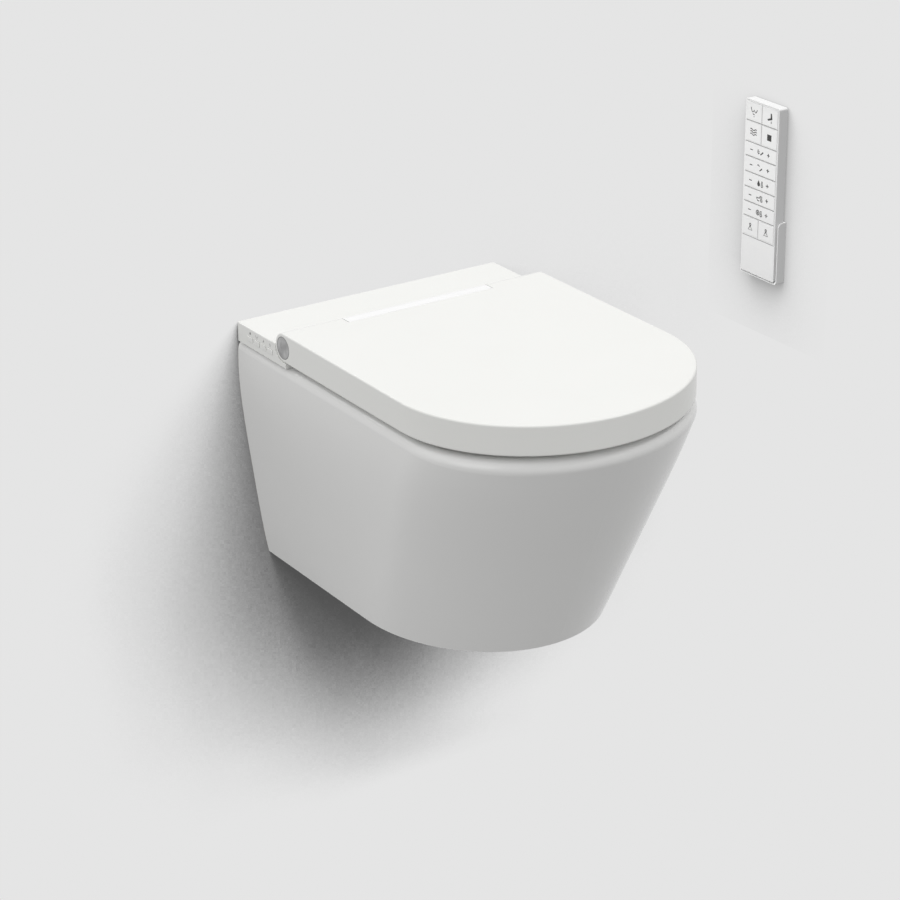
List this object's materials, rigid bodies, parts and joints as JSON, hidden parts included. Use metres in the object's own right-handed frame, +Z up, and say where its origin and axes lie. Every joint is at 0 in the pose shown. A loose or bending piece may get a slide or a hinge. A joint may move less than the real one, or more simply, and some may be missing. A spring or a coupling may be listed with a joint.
{
  "type": "shower toilet",
  "caption": "Wall-hung shower toilet: tapered D-shaped ceramic pan, slim washing unit, heated seat, flat D-shaped lid with round hinge ears, and a remote control in a wall cradle.",
  "frame": {"origin": "midway between the two wall studs, on the face of the wall", "axes": "+Y into the wall, +Z up, +X to the sitter's left"},
  "size_m": [0.5891, 0.553, 0.572],
  "materials": {
    "vitreous_china": "glazed vitreous china, smooth and bright",
    "white_plastic": "smooth white duroplast",
    "bridge_plastic": "bright white, smooth",
    "remote_plastic": "satin white",
    "grey_plastic": "plain",
    "steel": "brushed",
    "rubber": "matt",
    "clear_rubber": "matt grey",
    "circuit": "solder mask",
    "copper_foil": "foil",
    "brass": "turned"
  },
  "bodies": {
    "pan": {"bridge_screws": "steel", "ceramic_pan": "vitreous_china", "control_board": "circuit", "deck_bolts": "steel", "deck_nuts": "steel", "dryer_duct": "grey_plastic", "dryer_housing": "grey_plastic", "dryer_motor": "grey_plastic", "fixing_bushes": "grey_plastic", "flush_seal": "rubber", "hinge_bridge": "bridge_plastic", "hinge_pins": "steel", "key_board": "circuit", "lid_dampers": "grey_plastic", "nozzle_guide": "grey_plastic", "nozzle_motor": "grey_plastic", "power_gland": "grey_plastic", "power_supply": "circuit", "remote_cradle": "remote_plastic", "solenoid_valve": "grey_plastic", "unit_base": "grey_plastic", "unit_cover": "white_plastic", "water_heater": "grey_plastic", "water_hose": "clear_rubber", "water_inlet": "brass", "water_pump": "grey_plastic"},
    "seat": {"seat_top": "white_plastic", "seat_bottom": "white_plastic", "seat_heater": "copper_foil", "seat_pads": "clear_rubber"},
    "lid": {"lid_shell": "white_plastic", "hinge_caps": "steel", "lid_pads": "clear_rubber"},
    "nozzle": {"nozzle_arm": "grey_plastic", "nozzle_tip": "steel"},
    "pinion": {"nozzle_pinion": "grey_plastic"},
    "fan": {"dryer_fan": "grey_plastic"},
    "remote": {"remote_front": "remote_plastic", "remote_back": "remote_plastic", "remote_board": "circuit", "remote_cell": "steel", "battery_door": "remote_plastic"},
    "side_key_front_wash": {"side_key_front_wash": "white_plastic"},
    "side_key_power": {"side_key_power": "white_plastic"},
    "side_key_rear_wash": {"side_key_rear_wash": "white_plastic"},
    "side_key_stop": {"side_key_stop": "white_plastic"},
    "remote_key_air_heat": {"remote_key_air_heat": "remote_plastic"},
    "remote_key_dryer": {"remote_key_dryer": "remote_plastic"},
    "remote_key_front_wash": {"remote_key_front_wash": "remote_plastic"},
    "remote_key_position": {"remote_key_position": "remote_plastic"},
    "remote_key_pressure": {"remote_key_pressure": "remote_plastic"},
    "remote_key_rear_wash": {"remote_key_rear_wash": "remote_plastic"},
    "remote_key_seat_heat": {"remote_key_seat_heat": "remote_plastic"},
    "remote_key_stop": {"remote_key_stop": "remote_plastic"},
    "remote_key_user_one": {"remote_key_user_one": "remote_plastic"},
    "remote_key_user_two": {"remote_key_user_two": "remote_plastic"},
    "remote_key_water_heat": {"remote_key_water_heat": "remote_plastic"}
  },
  "joints": [
    {"name": "seat_hinge", "type": "hinge", "parent": "pan", "child": "seat", "pos_m": [0, -0.1125, 0.105], "axis": [1, 0, 0], "range_deg": [-95, 0]},
    {"name": "lid_hinge", "type": "hinge", "parent": "seat", "child": "lid", "pos_m": [0, -0.1125, 0.105], "axis": [-1, 0, 0], "range_deg": [0, 100]},
    {"name": "nozzle_slide", "type": "slide", "parent": "pan", "child": "nozzle", "axis": [0, -0.9135, -0.4067], "range_m": [0, 0.085]},
    {"name": "pinion_spin", "type": "hinge", "parent": "pan", "child": "pinion", "pos_m": [0.078, -0.11536, 0.05522], "axis": [0, -0.4067, 0.9135], "range_deg": [0, 696.73]},
    {"name": "fan_spin", "type": "hinge", "parent": "pan", "child": "fan", "pos_m": [-0.107, -0.068, 0.04], "axis": [0, 0, 1], "continuous": true},
    {"name": "remote_lift", "type": "slide", "parent": "pan", "child": "remote", "axis": [0, 0, 1], "range_m": [0, 0.09]},
    {"name": "side_key_front_wash_press", "type": "slide", "parent": "pan", "child": "side_key_front_wash", "axis": [1, 0, 0], "range_m": [0, 0.0005], "stiffness_N_per_m": 600, "springref_m": -0.0008},
    {"name": "side_key_power_press", "type": "slide", "parent": "pan", "child": "side_key_power", "axis": [1, 0, 0], "range_m": [0, 0.0005], "stiffness_N_per_m": 600, "springref_m": -0.0008},
    {"name": "side_key_rear_wash_press", "type": "slide", "parent": "pan", "child": "side_key_rear_wash", "axis": [1, 0, 0], "range_m": [0, 0.0005], "stiffness_N_per_m": 600, "springref_m": -0.0008},
    {"name": "side_key_stop_press", "type": "slide", "parent": "pan", "child": "side_key_stop", "axis": [1, 0, 0], "range_m": [0, 0.0005], "stiffness_N_per_m": 600, "springref_m": -0.0008},
    {"name": "remote_key_dryer_press", "type": "slide", "parent": "remote", "child": "remote_key_dryer", "axis": [1, 0, 0], "range_m": [0, 0.0006], "stiffness_N_per_m": 600, "springref_m": -0.0008},
    {"name": "remote_key_front_wash_press", "type": "slide", "parent": "remote", "child": "remote_key_front_wash", "axis": [1, 0, 0], "range_m": [0, 0.0006], "stiffness_N_per_m": 600, "springref_m": -0.0008},
    {"name": "remote_key_rear_wash_press", "type": "slide", "parent": "remote", "child": "remote_key_rear_wash", "axis": [1, 0, 0], "range_m": [0, 0.0006], "stiffness_N_per_m": 600, "springref_m": -0.0008},
    {"name": "remote_key_stop_press", "type": "slide", "parent": "remote", "child": "remote_key_stop", "axis": [1, 0, 0], "range_m": [0, 0.0006], "stiffness_N_per_m": 600, "springref_m": -0.0008},
    {"name": "remote_key_user_one_press", "type": "slide", "parent": "remote", "child": "remote_key_user_one", "axis": [1, 0, 0], "range_m": [0, 0.0006], "stiffness_N_per_m": 600, "springref_m": -0.0008},
    {"name": "remote_key_user_two_press", "type": "slide", "parent": "remote", "child": "remote_key_user_two", "axis": [1, 0, 0], "range_m": [0, 0.0006], "stiffness_N_per_m": 600, "springref_m": -0.0008},
    {"name": "remote_key_pressure_rock", "type": "hinge", "parent": "remote", "child": "remote_key_pressure", "pos_m": [0.3861, -0.299, 0.2939], "axis": [0, 0, 1], "range_deg": [-1.6, 1.6], "stiffness_Nm_per_rad": 0.6},
    {"name": "remote_key_position_rock", "type": "hinge", "parent": "remote", "child": "remote_key_position", "pos_m": [0.3861, -0.299, 0.27447], "axis": [0, 0, 1], "range_deg": [-1.6, 1.6], "stiffness_Nm_per_rad": 0.6},
    {"name": "remote_key_water_heat_rock", "type": "hinge", "parent": "remote", "child": "remote_key_water_heat", "pos_m": [0.3861, -0.299, 0.25471], "axis": [0, 0, 1], "range_deg": [-1.6, 1.6], "stiffness_Nm_per_rad": 0.6},
    {"name": "remote_key_seat_heat_rock", "type": "hinge", "parent": "remote", "child": "remote_key_seat_heat", "pos_m": [0.3861, -0.299, 0.23562], "axis": [0, 0, 1], "range_deg": [-1.6, 1.6], "stiffness_Nm_per_rad": 0.6},
    {"name": "remote_key_air_heat_rock", "type": "hinge", "parent": "remote", "child": "remote_key_air_heat", "pos_m": [0.3861, -0.299, 0.21664], "axis": [0, 0, 1], "range_deg": [-1.6, 1.6], "stiffness_Nm_per_rad": 0.6}
  ],
  "couplings": [
    {"joint": "pinion_spin", "follows": "nozzle_slide", "rad_per_m": 142.86}
  ]
}
